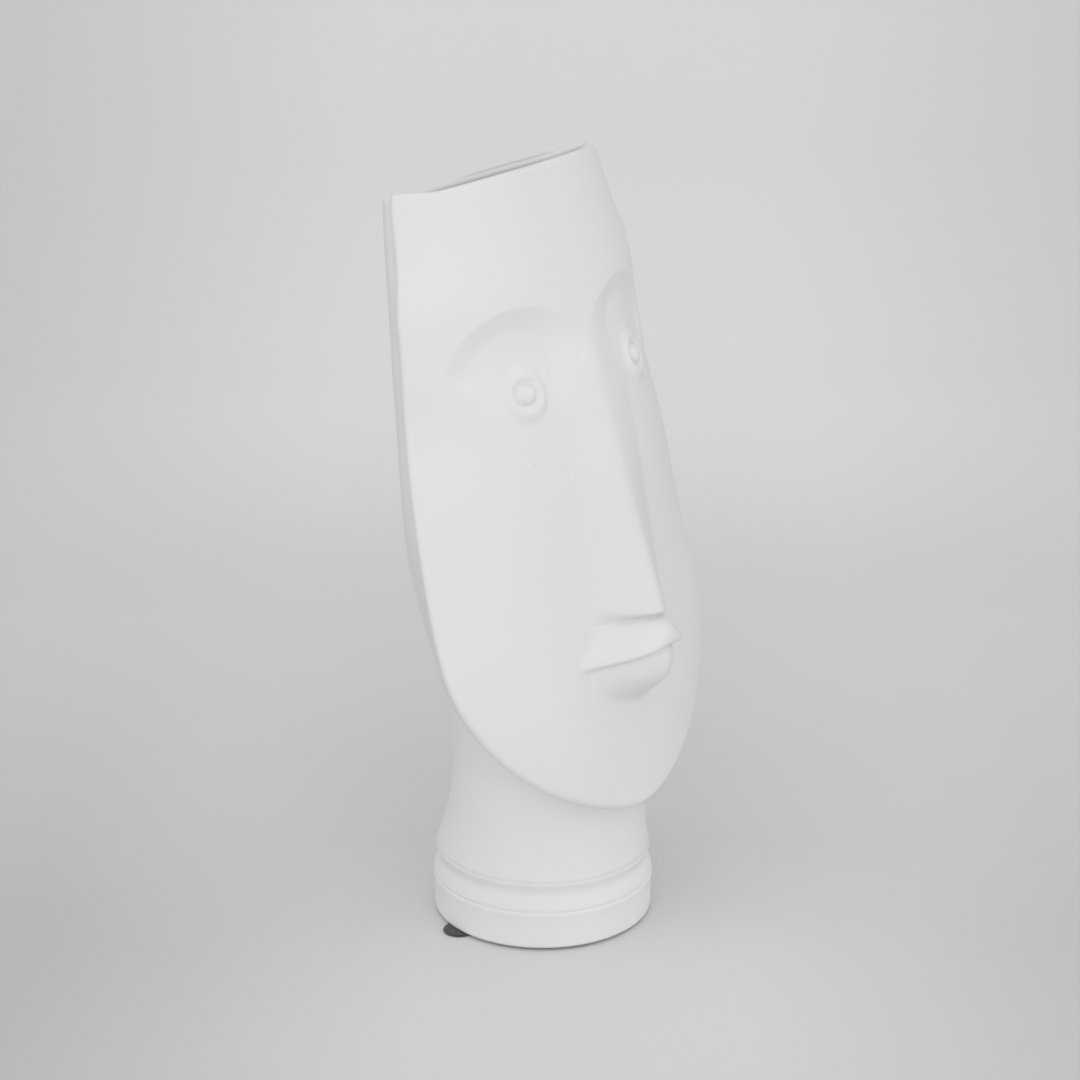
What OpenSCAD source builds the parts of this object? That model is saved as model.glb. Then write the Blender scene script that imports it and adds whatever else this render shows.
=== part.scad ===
// Ceramic vase in the shape of a long stylised face on a ringed neck.
// One hollow slip-cast body stands on four felt pads.
// Millimetres, +Z up, the face looks along -Y. Z = 0 is the surface it stands on.
//
// The face is described in its own leaning frame: x across, t up the face from the chin,
// v forward out of the face. Heights z, depths y and widths x are in the part's frame,
// measured from the axis of the foot until the finished piece is moved to the origin.

/* [Face plate] */
// Length of the face from chin to rim
face_len = 239.4; // [232:0.2:246]
// Widest width of the face
face_w = 150; // [144:1:154]
// Width of the face at the rim
rim_w = 114; // [110:1:120]
// Height on the face where it is widest
widest_at = 75; // [68:1:82]
// Backward lean of the face, in degrees
lean = 18; // [16:0.5:20]
// Distance of the chin up the leaning axis
chin_up = 38.2; // [36:0.2:41]
// How far the chin stands out from the leaning axis
chin_out = 63.1; // [62:0.1:65]
// How far further the forehead stands out than the chin
brow_out = 27.6; // [26:0.2:29]
// Radius of the rounded edge round the chin
edge_r_low = 3; // [2:0.25:4]
// Radius of the crisper edge beside the brow
edge_r_high = 1.5; // [1:0.25:3]
// Thickness of the free edge round the chin
edge_t = 8; // [6:0.5:10]

/* [Brows and eyes] */
// Distance of each eye from the middle of the face
eye_x = 32; // [29:0.5:34]
// Height of the eyes up the face
eye_at = 162.5; // [158:0.5:168]
// Radius of the bead in each eye
bead_r = 3.7; // [3:0.1:5]
// Radius of the arch of the brow about the eye
brow_r = 30.5; // [27:0.5:32]
// Depth of the hollow under the brow
socket_d = 3; // [1:0.1:3.5]

/* [Nose and mouth] */
// How far the ridge of the nose stands out from the leaning axis
ridge_out = 93; // [90:0.1:95]
// Height of the underside of the nose up the face
nose_at = 70.6; // [68:0.1:74]
// Half width of the nose
nose_w = 18; // [15:0.5:20]
// Height of the line of the mouth up the face
mouth_at = 57.6; // [54:0.1:60]
// Half width of the mouth
mouth_w = 24.5; // [20:0.5:27]
// How far the upper lip stands out of the face
upper_out = 19.4; // [12:0.1:21]
// How far the lower lip stands out of the face
lower_out = 16.6; // [10:0.1:19]

/* [Body] */
// Radius of the neck
neck_r = 35; // [33:0.5:37]
// How far the neck leans forward over the foot
neck_ahead = 1.7; // [0:0.1:3]
// Largest half width of the body behind the face
body_w = 68; // [64:0.5:70]
// Half width of the body at the rim
body_rim_w = 57.5; // [55:0.5:60]
// Depth of the nearly upright back behind the axis of the foot
back_y = 35.2; // [34:0.2:38]
// Thickness of the wall
wall = 5; // [4:0.25:6]
// Radius of the rolled lip of the rim
rim_r = 1.2; // [0.8:0.1:1.5]

/* [Foot] */
// Radius of the foot
foot_r = 41.4; // [40:0.2:44]
// Height of the lower groove
groove_1 = 15.8; // [14:0.1:18]
// Height of the upper groove
groove_2 = 27.5; // [25:0.1:30]
// Depth of the two grooves
groove_d = 0.55; // [0.2:0.05:1]
// Thickness of the floor
floor_t = 6; // [4:0.5:8]
// Depth of the recess under the floor
recess_d = 1.5; // [0.5:0.1:2.5]
// Diameter of each felt pad
pad_d = 12; // [8:0.5:14]
// Thickness of each felt pad
pad_t = 1; // [0.6:0.1:2]

/* [Hidden] */

glaze = [0.89, 0.89, 0.88];
felt = [0.25, 0.25, 0.26];

// The foot's axis stands behind the origin, which is the middle of the footprint.
foot_y = 8;

lean_s = sin(lean);
lean_c = cos(lean);

// Outline: powers of the round chin, and of the taper from the widest place to the rim.
chin_pow = [1.8, 0.6];
taper_pow = 1.9;
// Swells of the outline and of the edge's depth: place up the face, reach and size.
outline_swells = [[200, 12, 2], [158, 16, -1.4]];
edge_swells = [[204, 27, 2.8], [158, 16, -1]];
// Middle line of the shield: power of its rise from the chin.
middle_pow = 2.2;
// Edge of the shield: nearest to the axis at edge_low, further out at the chin and the rim.
edge_low = 80;
edge_in = 52.1;
edge_chin_rise = 11;
edge_rim_rise = 15.6;
edge_rim_pow = 1.3;
edge_start = 0.05;
// Power of the shield's crown, below and above crown_at: higher is flatter in front.
crown_pow = [2.2, 2.5];
crown_at = [90, 160];
// Slope of the shield along the face where its edge rounds over the chin.
chin_slope = 0.3;
// Between these heights the free edge of the face closes in on the body.
edge_round_at = [20, 90];
edge_free_at = [60, 120];
edge_closed_t = 1;

// Nose: extra height of its tip, its root, and the radius that blends it with the lips.
tip_rise = 1.4;
tip_at = [110, 76];
root_at = [182, 165];
ridge_round = 3;
flank_round = 0.09;
nose_blend = 1.2;
// Underside of the nose: rise to each side, and its softness in the middle and outside.
base_rise = 0.19;
base_soft = [1, 4, 16];

// Upper lip: fullest at full_at, gone top_reach further up; broad below, a ridge above.
full_at = 63;
top_reach = 10.2;
lip_drop = [0.05, 5];
lip_wide = 27;
wide_at = [60, 69];
lip_pow = [1.9, 1.3];
pow_at = [58, 65];
lip_foot = 1.7;
// Lower lip: its underside, how that rises to the corners, and the powers of its outline.
low_at = 46.3;
low_rise = [7, 1.3];
lower_pow = [1.6, 1.3];
fall_at = [0.45, 0.4];
under_soft = [6.5, 0.6];
// Line of the mouth: its peak in the middle, its rise to the corners, and the groove in it.
peak = [1.6, 8];
corner_rise = 0.8;
line_d = 0.9;
line_w = 0.8;
line_soft = 0.5;

// Brow: where its ledge is crisp round the eye, in degrees, and how its reach and width vary.
crisp_from = [12, 36];
crisp_to = [165, 120];
reach_low = [2.2, 55, 25];
reach_nose = [1.6, 110, 150];
ledge_w = [26, 8];
ledge_w_at = [8, 34];
ledge_nose = [9, 115, 155];
ledge_pow = 1.35;
socket_at = [-10, 17];
// Eye: a lid like a low mound, a bowl in it and a bead in the bowl.
lid_h = 1.7;
lid_shape = [1.15, 0.95];
lid_at = [6, 11];
bowl_d = 1.5;
bowl_at = [3.4, 6.4];
bead_h = 0.66;

// Body: heights between which it flares, and of the parts that lean back towards the rim.
flare_at = [58, 175];
waist_at = 120;
narrow_at = [185, 95];
mid_lean = [21, 165, 120, 1.25];
back_lean = [9, 190, 95, 1.8];
crotch_z = 64;
crotch_rise = 0.55;
straight_at = 140;
// Angle round the body at which the back of the face meets it.
meet_a = [-90, 8, 120, 2.5];
meet_top = [7, 130];
blend_reach = 0.35;
// Hollow: power of its flatter front, and where that sets in.
hollow_pow = [1, 1.85];
hollow_at = [20, 110];
hollow_front_at = 70;
hollow_flare = 1;

// Neck: how it leans, its flare to the upper groove, the concave band and the foot below it.
lean_to = 44;
neck_flare = [0.25, 5.2, 1.7];
band_out = 0.4;
band_in = [2, 7.2, 4];
foot_lip = [0.5, 3];
groove_w = 0.7;
foot_round = 1.5;
foot_ring = 4;
// The lofted head ends in the upper groove; the foot reaches up inside its wall to spigot_z.
groove_half = 0.4;
spigot_z = 33;
spigot_in = [0.45, 2.2];
bore_step = 0.4;
floor_round = [3, 3];

// The felt pads: one sticks out past the foot, the others are tucked under it.
pad_angles = [165, 255, 345, 75];
pad_circle = [39.8, 31, 31, 31];

// Rows of the loft up the face: from, to, number of rows, crowding towards the start.
row_bands = [
    [0, 26, 8, 1.6],
    [26, 42, 3, 1],
    [42, 54, 5, 1],
    [54, 63, 8, 1],
    [63, widest_at, 7, 1],
    [widest_at, 148, 8, 1],
    [148, 196, 15, 1],
    [196, face_len - rim_r, 5, 1]
];
// Columns from the middle of the face to its edge, as shares of the half width.
col_bands = [
    [0, 0.13, 6],
    [0.13, 0.3, 5],
    [0.3, 0.6, 9],
    [0.6, 1, 4]
];
edge_n = 3;
bend_n = 3;
back_n = 12;
cavity_n = 36;
cavity_rows = 12;
neck_n = 48;
rim_n = 2;

// ---------------------------------------------------------------- helpers
function clip(q) = min(1, max(0, q));
function ease(a, b, q) = let (w = clip((q - a) / (b - a))) w * w * (3 - 2 * w);
function fade(at, q) = ease(at[0], at[1], q);
function mix(a, b, w) = a * (1 - w) + b * w;
function soft_abs(q, r) = sqrt(q * q + r * r) - r;
// Nothing below 0 and q above it, with a rounded turn between.
function soft_ramp(q, r) = (q + sqrt(q * q + r * r)) / 2;
// The larger of a and b, with a rounded valley between them, and nothing where both are 0.
function soft_max(a, b, r) = (a + b + sqrt((a - b) * (a - b) + r * r) - r) / 2;
function bell(q) = exp(-q * q);
function swell(s, t) = s[2] * bell((t - s[0]) / s[1]);
function unit(p) = p / norm(p);
function mirror_x(p) = [-p[0], p[1], p[2]];

// Face coordinates to part coordinates.
function place(x, t, v) = [
    x,
    lean_s * (chin_up + t) - lean_c * v,
    lean_c * (chin_up + t) + lean_s * v
];

// ---------------------------------------------------------------- outline of the face
function half_w(t) = t < widest_at
    ? face_w / 2 * pow(1 - pow(clip(1 - t / widest_at), chin_pow[0]), chin_pow[1])
    : face_w / 2 - (face_w - rim_w) / 2 * pow((t - widest_at) / (face_len - widest_at), taper_pow)
        + swell(outline_swells[0], t) + swell(outline_swells[1], t);
function middle_v(t) = chin_out + brow_out * (1 - pow(clip(1 - t / face_len), middle_pow));
function edge_rise(t) = t < edge_low
    ? edge_chin_rise * pow(1 - t / edge_low, 2)
    : edge_rim_rise * pow(
        soft_abs((t - edge_low) / (face_len - edge_low), edge_start) / soft_abs(1, edge_start),
        edge_rim_pow
    );
function edge_v(t) = edge_in + edge_rise(t) + swell(edge_swells[0], t) + swell(edge_swells[1], t);
function crown(t) = mix(crown_pow[0], crown_pow[1], fade(crown_at, t));
// The smooth shield that carries the features.
function shield_v(x, t) =
    middle_v(t) - (middle_v(t) - edge_v(t)) * pow(clip(abs(x) / max(half_w(t), 0.001)), crown(t));

// ---------------------------------------------------------------- features of the face
// A long wedge: its ridge keeps its distance while the shield falls away below it.
function nose_v(x, t) = let (
    high = (ridge_out + tip_rise * fade(tip_at, t) - middle_v(t)) * fade(root_at, t),
    flank = soft_ramp(1 - soft_abs(x, ridge_round) / nose_w, flank_round),
    base = nose_at + base_rise * abs(x),
    soft = base_soft[0] + base_soft[1] * pow(clip(abs(x) / base_soft[2]), 3)
) high * flank * ease(base - soft, base + soft, t);

// The muzzle under the nose: a ridge above, and broad at the line of the mouth.
function upper_lip_v(x, t) = let (
    wide = mix(lip_wide, nose_w + 2, fade(wide_at, t)),
    power = mix(lip_pow[0], lip_pow[1], fade(pow_at, t)),
    full = t < full_at
        ? 1 - lip_drop[0] * pow((full_at - t) / lip_drop[1], 2)
        : sqrt(clip(1 - pow((t - full_at) / top_reach, 2)))
) upper_out * full * pow(clip(1 - pow(soft_abs(x, 2) / wide, power)), lip_foot);

// A full band that ends in a soft underside.
function lower_lip_v(x, t, line) = let (
    share = clip(abs(x) / mouth_w),
    low = low_at + low_rise[0] * pow(share, low_rise[1]),
    high = lower_out * pow(1 - pow(share, lower_pow[0]), lower_pow[1]),
    down = clip((line - t) / (line - low)),
    fall = 1 - fall_at[0] * pow(down - fall_at[1], 2)
) high * fall * ease(low - under_soft[0], low + under_soft[1], t);

function mouth_v(x, t) = let (
    share = abs(x) / mouth_w,
    line = mouth_at + peak[0] * bell(x / peak[1]) + corner_rise * share * share,
    groove = line_d * bell((t - line) / line_w) * clip(1 - share * share),
    part = ease(line - line_soft, line + line_soft, t)
) mix(lower_lip_v(x, t, line), upper_lip_v(x, t), part) - groove;

// The shallow hollow round the eye: a crisp ledge under the arch, soft at both its ends.
function socket_v(x, t) = let (
    across = abs(x) - eye_x,
    up = t - eye_at,
    round = (atan2(up, across) + 360) % 360,
    turn = round > 270 ? round - 360 : round,
    crisp = fade(crisp_from, turn) * fade(crisp_to, turn),
    reach = brow_r - reach_low[0] * ease(reach_low[1], reach_low[2], turn)
        + reach_nose[0] * ease(reach_nose[1], reach_nose[2], turn),
    width = mix(ledge_w[0], ledge_w[1], fade(ledge_w_at, turn))
        + ledge_nose[0] * ease(ledge_nose[1], ledge_nose[2], turn),
    share = clip((norm([across, up]) - reach + width) / width)
) -socket_d * fade(socket_at, up) * (1 - mix(ease(0, 1, share), pow(share, ledge_pow), crisp));

function eye_v(x, t) = let (
    across = abs(x) - eye_x,
    up = t - eye_at,
    far = norm([across, up]),
    lid = norm([lid_shape[0] * across, lid_shape[1] * up])
) lid_h * (1 - fade(lid_at, lid)) - bowl_d * (1 - fade(bowl_at, far))
    + bead_h * sqrt(max(0, bead_r * bead_r - far * far));

function face_v(x, t) = shield_v(x, t)
    + soft_max(nose_v(x, t), t < nose_at + 4 ? mouth_v(x, t) : 0, nose_blend)
    + (t > straight_at - 20 ? socket_v(x, t) + eye_v(x, t) : 0);

// ---------------------------------------------------------------- body behind the face
function late(l, z) = l[0] * pow(clip((z - l[1]) / l[2]), l[3]);
function body_half_w(z) = neck_r + (body_w - neck_r) * fade(flare_at, z)
    - (body_w - body_rim_w) * pow(clip((z - narrow_at[0]) / narrow_at[1]), 2);
function body_mid_y(z) = late(mid_lean, z) - neck_ahead * ease(waist_at, crotch_z, z);
function body_back_y(z) =
    mix(back_y, neck_r - neck_ahead, ease(waist_at, crotch_z, z)) + late(back_lean, z);
// Height of the section that belongs to place t on the face, at depth y.
function section_z(t, y) = mix(
    crotch_z + crotch_rise * t,
    (chin_up + t - lean_s * y) / lean_c,
    ease(0, straight_at, t)
);
// Point of the body at angle a round section t: -90 is the front, 90 the back.
function body_point(t, a) = let (
    z0 = section_z(t, 0),
    y0 = body_mid_y(z0) + (a > 0 ? body_back_y(z0) - body_mid_y(z0) : neck_r) * sin(a),
    z = section_z(t, y0),
    reach = a > 0 ? body_back_y(z) - body_mid_y(z) : neck_r
) [body_half_w(z) * cos(a), body_mid_y(z) + reach * sin(a), z];
function meet_angle(t) = mix(meet_a[0], meet_a[1], 1 - pow(clip(1 - t / meet_a[2]), meet_a[3]))
    + meet_top[0] * ease(meet_top[1], face_len, t);

// ---------------------------------------------------------------- edge of the face
function edge_r(t) = mix(edge_r_low, edge_r_high, fade(edge_round_at, t));
// How far the free edge reaches back past its rounding.
function edge_lip(t) = mix(edge_t, edge_closed_t, fade(edge_free_at, t)) - edge_r(t);
function slope_w(t) = (half_w(t + 0.05) - half_w(max(t - 0.05, 0))) / (t > 0.05 ? 0.1 : t + 0.05);
// Direction square to the outline, in the plane of the face: across and up.
function outline_normal(t) = t < 0.001 ? [0, -1]
    : unit([1, -slope_w(t) * (1 - ease(face_len - 12, face_len - 3, t))]);
function edge_slope(t) = let (n = outline_normal(t))
    crown(t) * (middle_v(t) - edge_v(t)) / max(half_w(t), edge_t) * abs(n[0])
        + chin_slope * abs(n[1]);
// Where the rounding starts: across and up, so that the edge just reaches the outline.
function shoulder(t) = let (
    n = outline_normal(t),
    k = edge_slope(t),
    inward = edge_r(t) * (1 - k / norm([1, k]))
) [half_w(t) - inward * n[0], t - inward * n[1]];
// Point of the rounded edge, out from its shoulder and back from the face.
function edge_point(t, out, back) = let (
    n = outline_normal(t),
    k = edge_slope(t),
    c = 1 / norm([1, k]),
    s = shoulder(t),
    across = (out - back * k) * c,
    deep = (out * k + back) * c
) place(s[0] + across * n[0], s[1] + across * n[1], shield_v(s[0], s[1]) - deep);
// Angles of the rounding: its furthest place is always among them.
function edge_angles(t) = let (widest = atan(1 / edge_slope(t))) [widest / 2, widest, 90];

// ---------------------------------------------------------------- rows of the loft
function row_times() = concat(
    [for (b = row_bands) for (i = [0 : b[2] - 1]) b[0] + (b[1] - b[0]) * pow(i / b[2], b[3])],
    [face_len - rim_r]
);
function col_shares() = concat(
    [for (b = col_bands) for (i = [0 : b[2] - 1]) b[0] + (b[1] - b[0]) * i / b[2]],
    [1]
);

function bezier(p, q, r, s, w) =
    p * pow(1 - w, 3) + 3 * q * pow(1 - w, 2) * w + 3 * r * (1 - w) * w * w + s * pow(w, 3);

// Half a section, from the middle of the face round the edge to the middle of the back.
function half_section(t) = let (
    at = shoulder(t),
    r = edge_r(t),
    p = edge_point(t, r, r + edge_lip(t)),
    p_back = edge_point(t, r, r + edge_lip(t) + 1),
    a = meet_angle(t),
    s = body_point(t, a),
    reach = blend_reach * norm(p - s),
    p_dir = unit(mix(unit(p_back - p), unit(s - p), fade(edge_free_at, t))),
    s_dir = unit(body_point(t, a - 1) - body_point(t, a + 1))
) concat(
    [for (c = col_shares()) place(at[0] * c, at[1], face_v(at[0] * c, at[1]))],
    [for (w = edge_angles(t)) edge_point(t, r * sin(w), r * (1 - cos(w)))],
    [for (i = [0 : bend_n]) bezier(p, p + reach * p_dir, s + reach * s_dir, s, i / (bend_n + 1))],
    [for (i = [0 : back_n]) body_point(t, mix(a, 90, i / back_n))]
);
function whole_section(half) = concat(
    half,
    [for (i = [len(half) - 2 : -1 : 1]) mirror_x(half[i])]
);

// Across and back, in the leaning plane of the rim.
function in_rim(p) = [p[0], p[1] * lean_c - p[2] * lean_s];
// The rim is rolled over: every point moves up the lean and into the opening.
function rolled(section, a) = let (n = len(section)) [
    for (i = [0 : n - 1]) let (
        along = in_rim(section[(i + 2) % n]) - in_rim(section[(i + n - 2) % n]),
        inward = unit([-along[1], along[0]]) * rim_r * (1 - cos(a)),
        up = rim_r * sin(a)
    ) section[i] + [inward[0], inward[1] * lean_c + up * lean_s, up * lean_c - inward[1] * lean_s]
];

// ---------------------------------------------------------------- neck and foot
function neck_mid_y(z) = -neck_ahead * ease(groove_2, lean_to, z);
function neck_radius(z) = let (
    flare = neck_r + neck_flare[0]
        + neck_flare[1] * pow(clip((crotch_z - z) / (crotch_z - groove_2)), neck_flare[2]),
    hollow = foot_r + band_out - band_in[0] * bell((z - groove_1 - band_in[1]) / band_in[2]),
    lower = foot_r + foot_lip[0] * bell((z - groove_1) / foot_lip[1])
) z > groove_2 ? flare : z > groove_1 ? hollow : lower;
function ring_points(z, r, n) = [for (i = [0 : n - 1]) let (a = 360 * i / n - 90)
    [r * cos(a), neck_mid_y(z) + r * sin(a), z]];

// Heights of the rings that carry the head on down to the upper groove, outside and inside.
neck_z = [58, 51, 44, 38, 33, 30, groove_2 + groove_half];
bore_z = [groove_2 + groove_half, 33, 38, 50];

// ---------------------------------------------------------------- hollow inside
function cavity_front(t) = let (
    y = lean_s * (chin_up + t) - lean_c * (middle_v(t) - wall - 1)
) mix(wall - neck_r - neck_ahead, y, ease(0, hollow_front_at, t));
function cavity_point(t, a, spread) = let (
    z0 = section_z(t, 0),
    mid = body_mid_y(z0),
    front = sin(a) < 0,
    reach = front ? mid - cavity_front(t) : body_back_y(z0) - wall - mid,
    power = mix(hollow_pow[0], hollow_pow[1], fade(hollow_at, t)),
    y = mid + (reach + spread) * (front ? -pow(-sin(a), power) : sin(a))
) [(body_half_w(section_z(t, y)) - wall + spread) * cos(a), y, section_z(t, y)];
function cavity_section(t, spread) =
    [for (i = [0 : cavity_n - 1]) cavity_point(t, 360 * i / cavity_n - 90, spread)];

// ---------------------------------------------------------------- faces of the loft
// Triangles between two closed rings of any counts, given as lists of vertex numbers.
function zip(a, b) = let (
    n = len(a),
    m = len(b),
    at = [for (i = [0 : n - 1]) round((i + 0.5) * m / n)]
) concat(
    [for (i = [0 : n - 1]) [a[i], b[at[i] % m], a[(i + 1) % n]]],
    [for (i = [0 : n - 1]) for (j = [(i == 0 ? at[n - 1] - m : at[i - 1]) : 1 : at[i] - 1])
        [a[i], b[(j + m) % m], b[(j + m + 1) % m]]]
);
function is_flat(f) = f[0] == f[1] || f[1] == f[2] || f[2] == f[0];
// Triangles between two rings of the same count, without those that have no area.
function band(a, b) = let (n = len(a)) [
    for (i = [0 : n - 1]) let (k = (i + 1) % n)
        for (f = [[a[i], b[i], b[k]], [a[i], b[k], a[k]]]) if (!is_flat(f)) f
];
function numbers(from, n) = [for (i = [0 : n - 1]) from + i];
function all_bands(rings) = [for (i = [0 : len(rings) - 2]) each band(rings[i + 1], rings[i])];
function flatten(lists) = [for (l = lists) each l];

// The lofted casting from the rim down to the upper groove.
module head() {
    front_n = len(col_shares()) - 1;
    sections = [for (t = row_times()) whole_section(half_section(t))];
    count = len(sections[0]);
    meet_i = front_n + edge_n + bend_n + 2;
    top = sections[len(sections) - 1];
    rim = [for (i = [1 : rim_n]) rolled(top, 90 * i / rim_n)];
    outer = concat(sections, rim);

    neck = [for (z = neck_z) ring_points(z, neck_radius(z), neck_n)];
    bore = [for (z = bore_z) ring_points(z, neck_radius(z) - wall, cavity_n)];
    cavity = [for (i = [0 : cavity_rows]) cavity_section((face_len - rim_r) * i / cavity_rows, 0)];
    hollow = concat(bore, cavity, [cavity_section(face_len, hollow_flare)]);

    // In the first row the front closes up: mirrored columns share one line of points.
    function first(c) = let (k = min(c, count - c)) k <= front_n ? front_n : k <= meet_i ? k : c;
    neck_from = len(outer) * count;
    hollow_from = neck_from + len(neck) * neck_n;
    face_i = [for (j = [0 : len(outer) - 1])
        j == 0 ? [for (c = [0 : count - 1]) first(c)] : numbers(j * count, count)];
    crotch_i = [for (c = [meet_i : count - meet_i - 1]) first(c)];
    neck_i = [for (j = [0 : len(neck) - 1]) numbers(neck_from + j * neck_n, neck_n)];
    hollow_i = [for (j = [0 : len(hollow) - 1]) numbers(hollow_from + j * cavity_n, cavity_n)];

    polyhedron(
        points = concat(flatten(outer), flatten(neck), flatten(hollow)),
        faces = concat(
            [for (j = [0 : len(outer) - 2]) each band(face_i[j], face_i[j + 1])],
            zip(neck_i[0], crotch_i),
            all_bands(neck_i),
            zip(hollow_i[0], neck_i[len(neck) - 1]),
            all_bands(hollow_i),
            zip(face_i[len(outer) - 1], hollow_i[len(hollow) - 1])
        ),
        convexity = 8
    );
}

// Foot with its concave band and two grooves: one revolved wall, a floor and a shallow recess.
module foot() {
    floor_z = pad_t + recess_d + floor_t;
    top_z = groove_2 - groove_half;
    r_top = neck_radius(top_z);
    bore = r_top - wall;
    r_1 = neck_radius(groove_1);
    r_2 = neck_radius(groove_2 + groove_half) - spigot_in[0];
    r_3 = neck_radius(groove_2 + groove_half) - spigot_in[1];
    rotate_extrude($fn = 128)
        polygon(concat(
            [[0, pad_t + recess_d], [foot_r - foot_round - foot_ring - 1, pad_t + recess_d]],
            [[foot_r - foot_round - foot_ring, pad_t], [foot_r - foot_round, pad_t]],
            [[foot_r - foot_round * (1 - sin(45)), pad_t + foot_round * (1 - cos(45))]],
            [[foot_r, pad_t + foot_round]],
            [for (z = [11, 14]) [neck_radius(z), z]],
            [[r_1, groove_1 - groove_w], [r_1 - groove_d, groove_1], [r_1, groove_1 + groove_w]],
            [for (z = [18.5, 20.5, 22, 24, 25.5]) [neck_radius(z), z]],
            [[r_top, top_z], [r_2, top_z + 0.2], [r_2, groove_2 + 2 * groove_half]],
            [[r_3, groove_2 + 3 * groove_half], [r_3, spigot_z]],
            [[bore + bore_step, spigot_z], [bore + bore_step, floor_z + floor_round[0]]],
            [[bore + bore_step - floor_round[1], floor_z], [0, floor_z]]
        ));
}

module vase_body() {
    color(glaze)
        translate([0, foot_y, 0])
            union() {
                foot();
                head();
            }
}

module felt_pad(i) {
    color(felt)
        translate([
            pad_circle[i] * cos(pad_angles[i]),
            foot_y + pad_circle[i] * sin(pad_angles[i]),
            0
        ])
            cylinder(h = pad_t, d = pad_d, $fn = 48);
}

vase_body();
felt_pad(0);  // felt_pad_1
felt_pad(1);  // felt_pad_2
felt_pad(2);  // felt_pad_3
felt_pad(3);  // felt_pad_4
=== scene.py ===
"""Looks of the face vase: the smooth ceramic body, its felt pads, the floor and the light.

The body is one closed loft, described in millimetres. On the face, x runs across, t up the face
from the chin, and v forward out of it. Elsewhere y is the depth behind the axis of the foot, which
stands FOOT_Y behind the origin, and z is the height above the ground. Among the sizes of the vase,
a name that ends in _AT is a place up the face, or the two places between which something changes,
one that ends in _OUT is a distance out of the face, and one that ends in _Z is a height. Exponents
stay in the formulas: they only say how a curve bends.
"""

import math

import bmesh
import bpy
import numpy as np
from mathutils import Matrix, Vector

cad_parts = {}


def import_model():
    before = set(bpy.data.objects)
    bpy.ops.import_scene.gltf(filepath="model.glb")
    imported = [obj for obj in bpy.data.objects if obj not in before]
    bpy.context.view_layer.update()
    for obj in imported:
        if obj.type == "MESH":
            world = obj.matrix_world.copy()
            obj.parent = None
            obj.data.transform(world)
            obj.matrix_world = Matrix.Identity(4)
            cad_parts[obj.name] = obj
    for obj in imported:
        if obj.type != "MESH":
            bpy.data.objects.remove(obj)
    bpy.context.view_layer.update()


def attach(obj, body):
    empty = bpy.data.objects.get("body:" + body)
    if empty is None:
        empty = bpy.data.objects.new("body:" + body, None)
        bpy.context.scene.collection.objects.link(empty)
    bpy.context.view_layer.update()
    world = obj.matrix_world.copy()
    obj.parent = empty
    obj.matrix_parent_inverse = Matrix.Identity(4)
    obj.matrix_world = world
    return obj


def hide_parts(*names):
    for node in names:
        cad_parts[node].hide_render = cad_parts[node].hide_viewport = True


MM = 0.001

# ---------------------------------------------------------------- driving sizes, in millimetres
# Stance
FOOT_Y = 8.0
LEAN = math.radians(18)
LEAN_S = math.sin(LEAN)
LEAN_C = math.cos(LEAN)
UP_FACE = np.array([0, LEAN_S, LEAN_C])
INTO_BODY = np.array([0, LEAN_C, -LEAN_S])

# Shield: its outline, the line down its middle, and its edge
FACE_LEN = 239.4
FACE_W = 150.0
RIM_W = 114.0
CORNER_W = 1.8
CORNER_H = 6.0
CHIN_UP = 38.2
CHIN_OUT = 63.1
BROW_OUT = 27.6
EDGE_OUT = 52.1
EDGE_CHIN_OUT = 11.0
EDGE_RIM_OUT = 15.6
WIDEST_AT = 75.0
CHEEK_AT = 80.0
TEMPLE_AT = 158.0
FLAT_FROM_AT = 90.0
FLAT_TO_AT = 160.0
LEVEL_NORMAL_AT = (FACE_LEN - 12, FACE_LEN - 3)

# Gentle swells of the outline and of the edge: size, place up the face, spread
BROW_WIDER = (2.0, 200.0, 12.0)
TEMPLE_NARROWER = (1.4, TEMPLE_AT, 16.0)
BROW_FORWARD = (2.8, 204.0, 27.0)
TEMPLE_BACK = (1.0, TEMPLE_AT, 16.0)

# Rounding of the edge, and the free edge that stands clear of the body below the cheek
EDGE_R_LOW = 3.0
EDGE_R_HIGH = 1.5
EDGE_T_LOW = 8.0
EDGE_T_HIGH = 1.8
SOFT_TO_AT = 20.0
CRISP_FROM_AT = 90.0
FREE_TO_AT = 60.0
JOINED_FROM_AT = 120.0
CHIN_SLOPE = 0.3
NARROWEST = 8.0

# Nose
RIDGE_OUT = 92.75
RIDGE_R = 3.0
TIP_OUT = 1.4
TIP_FROM_AT = 110.0
TIP_AT = 76.0
NOSE_AT = 70.6
NOSE_W = 18.0
NOSE_TOP_AT = 182.0
NOSE_FULL_AT = 165.0
NOSE_FOOT_ROUND = 0.09
BASE_RISE = 0.19
BASE_SOFT = 1.0
WING_SOFT = 4.0
WING_X = 16.0

# Mouth
MOUTH_AT = 57.6
MOUTH_W = 24.5
MOUTH_TOP_AT = 74.0
MUZZLE_W = 27.0
MUZZLE_TOP_W = NOSE_W + 2
MUZZLE_NARROWS_AT = (60, 69)
LIP_OUT = 19.2
LIP_R = 3.5
LIP_SHARPENS_AT = (58, 65)
LIP_CREST_AT = 62.0
LIP_RISE = 11.2
LIP_FALL = 0.04
LIP_FALL_H = 4.0
LIP_BOW = 1.6
LIP_BOW_W = 8.0
LIP_END_RISE = 0.8
LIP_LINE_D = 0.6
LIP_LINE_W = 0.8
LIP_STEP = 0.9
LOWER_LIP_OUT = 16.6
LOWER_LIP_AT = 47.0
LOWER_LIP_RISE = 7.0
LOWER_LIP_FALL = 0.45
LOWER_LIP_FULLEST = 0.4
UNDERSIDE = 8.0
VALLEY_R = 1.2

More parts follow.
